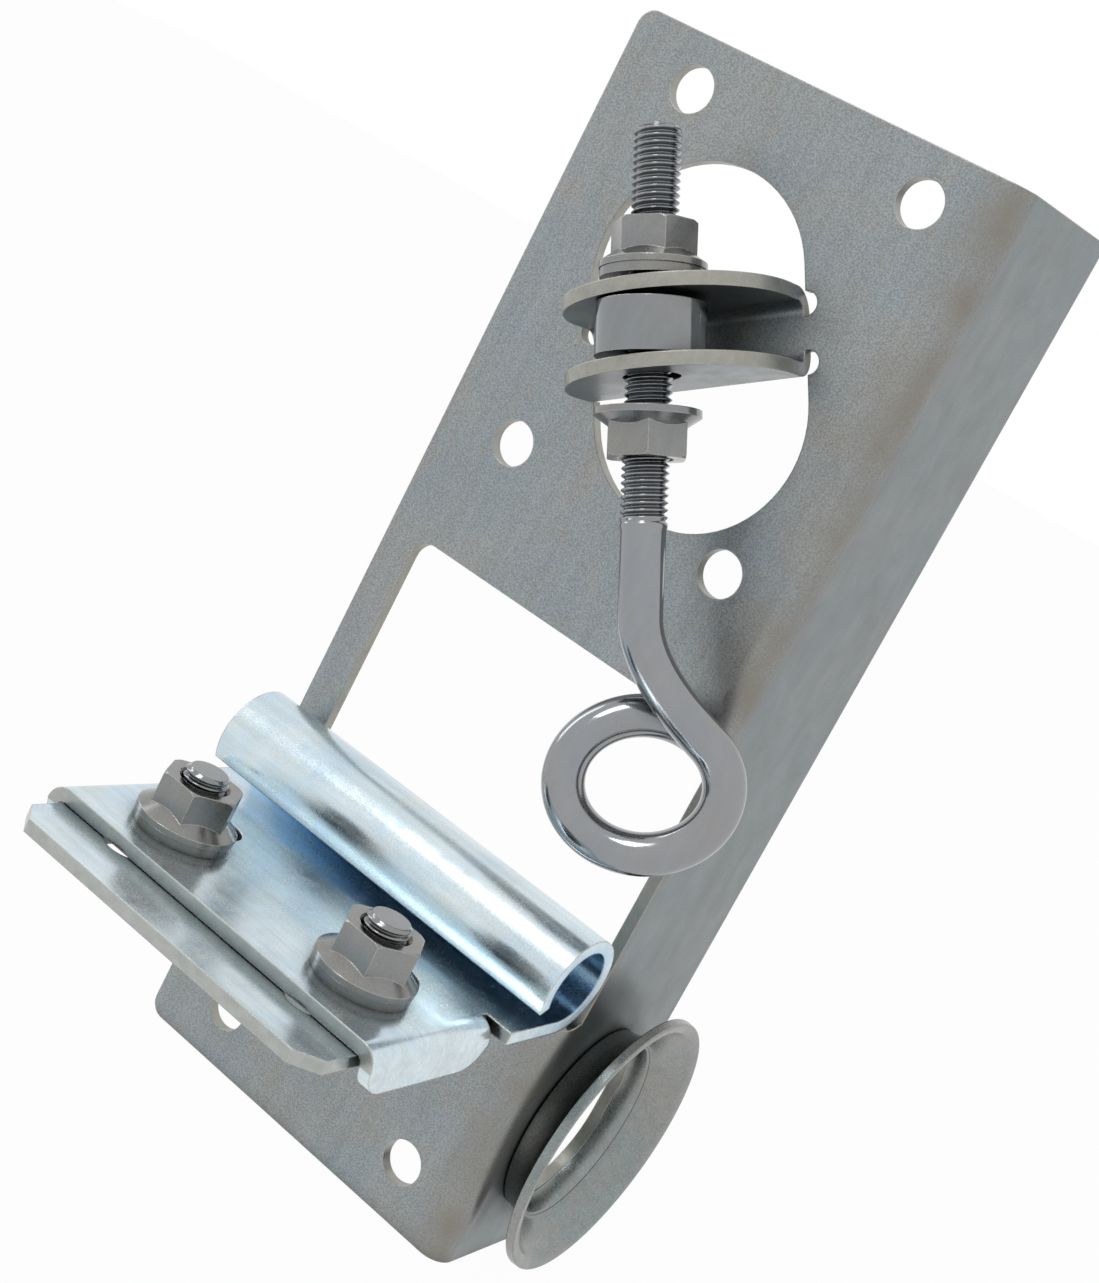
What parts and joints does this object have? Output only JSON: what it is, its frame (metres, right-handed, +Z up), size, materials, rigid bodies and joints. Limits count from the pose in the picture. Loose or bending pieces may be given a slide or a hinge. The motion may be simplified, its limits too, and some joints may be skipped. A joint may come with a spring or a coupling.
{
  "type": "cable hanger bracket",
  "caption": "Zinc-plated pressed steel bracket with an eye bolt in bent-out ears, a bolted sliding cable clamp and a flared cable guide on its side wall.",
  "frame": {"origin": "centre of the four upper mounting holes, on the plate's back face", "axes": "+Z up along the plate's length, +X across the plate to the side wall, +Y back into what the plate is bolted to; the ears, the eye bolt and the clamp stand out along -Y"},
  "size_m": [0.1153, 0.1489, 0.266],
  "materials": {
    "satin_zinc": "satin zinc plate",
    "bright_zinc": "bright bluish zinc plate",
    "dull_zinc": "dull zinc plate",
    "polished_zinc": "polished bright zinc plate"
  },
  "bodies": {
    "frame_plate": {"bracket": "satin_zinc", "clamp_shelf": "bright_zinc", "bell_mouth": "dull_zinc"},
    "washer": {"upper_washer": "polished_zinc"},
    "hanger": {"eye_bolt": "polished_zinc", "upper_nut": "polished_zinc", "lower_nut": "polished_zinc"},
    "sleeve": {"spacer_sleeve": "polished_zinc"},
    "bolts": {"clamp_bolt_left": "polished_zinc", "clamp_bolt_right": "polished_zinc"},
    "clamp": {"clamp_plate": "bright_zinc", "clamp_washer_left": "polished_zinc", "clamp_washer_right": "polished_zinc"},
    "nut_left": {"clamp_nut_left": "polished_zinc"},
    "nut_right": {"clamp_nut_right": "polished_zinc"}
  },
  "joints": [
    {"name": "bolt_lift", "type": "slide", "parent": "frame_plate", "child": "washer", "axis": [-0.4848, 0, 0.8746], "range_m": [0, 0.0058]},
    {"name": "bolt_swivel", "type": "hinge", "parent": "washer", "child": "hanger", "pos_m": [0, -0.0239, -0.0042], "axis": [-0.4848, 0, 0.8746], "continuous": true},
    {"name": "sleeve_spin", "type": "hinge", "parent": "frame_plate", "child": "sleeve", "pos_m": [0, -0.0239, -0.0042], "axis": [-0.4848, 0, 0.8746], "continuous": true},
    {"name": "clamp_slide", "type": "slide", "parent": "frame_plate", "child": "bolts", "axis": [0, 1, 0], "range_m": [-0.011, 0.0032]},
    {"name": "clamp_lift", "type": "slide", "parent": "bolts", "child": "clamp", "axis": [0, 0, 1], "range_m": [0, 0.0024]},
    {"name": "nut_left_turn", "type": "hinge", "parent": "clamp", "child": "nut_left", "pos_m": [-0.0241, -0.0616, -0.13], "axis": [0, 0, 1], "range_deg": [0, 576.5]},
    {"name": "nut_right_turn", "type": "hinge", "parent": "clamp", "child": "nut_right", "pos_m": [0.0299, -0.0616, -0.13], "axis": [0, 0, 1], "range_deg": [0, 576.5]}
  ],
  "couplings": [
    {"joint": "nut_left_turn", "follows": "clamp_lift", "rad_per_m": 4188.8},
    {"joint": "nut_right_turn", "follows": "clamp_lift", "rad_per_m": 4188.8}
  ]
}
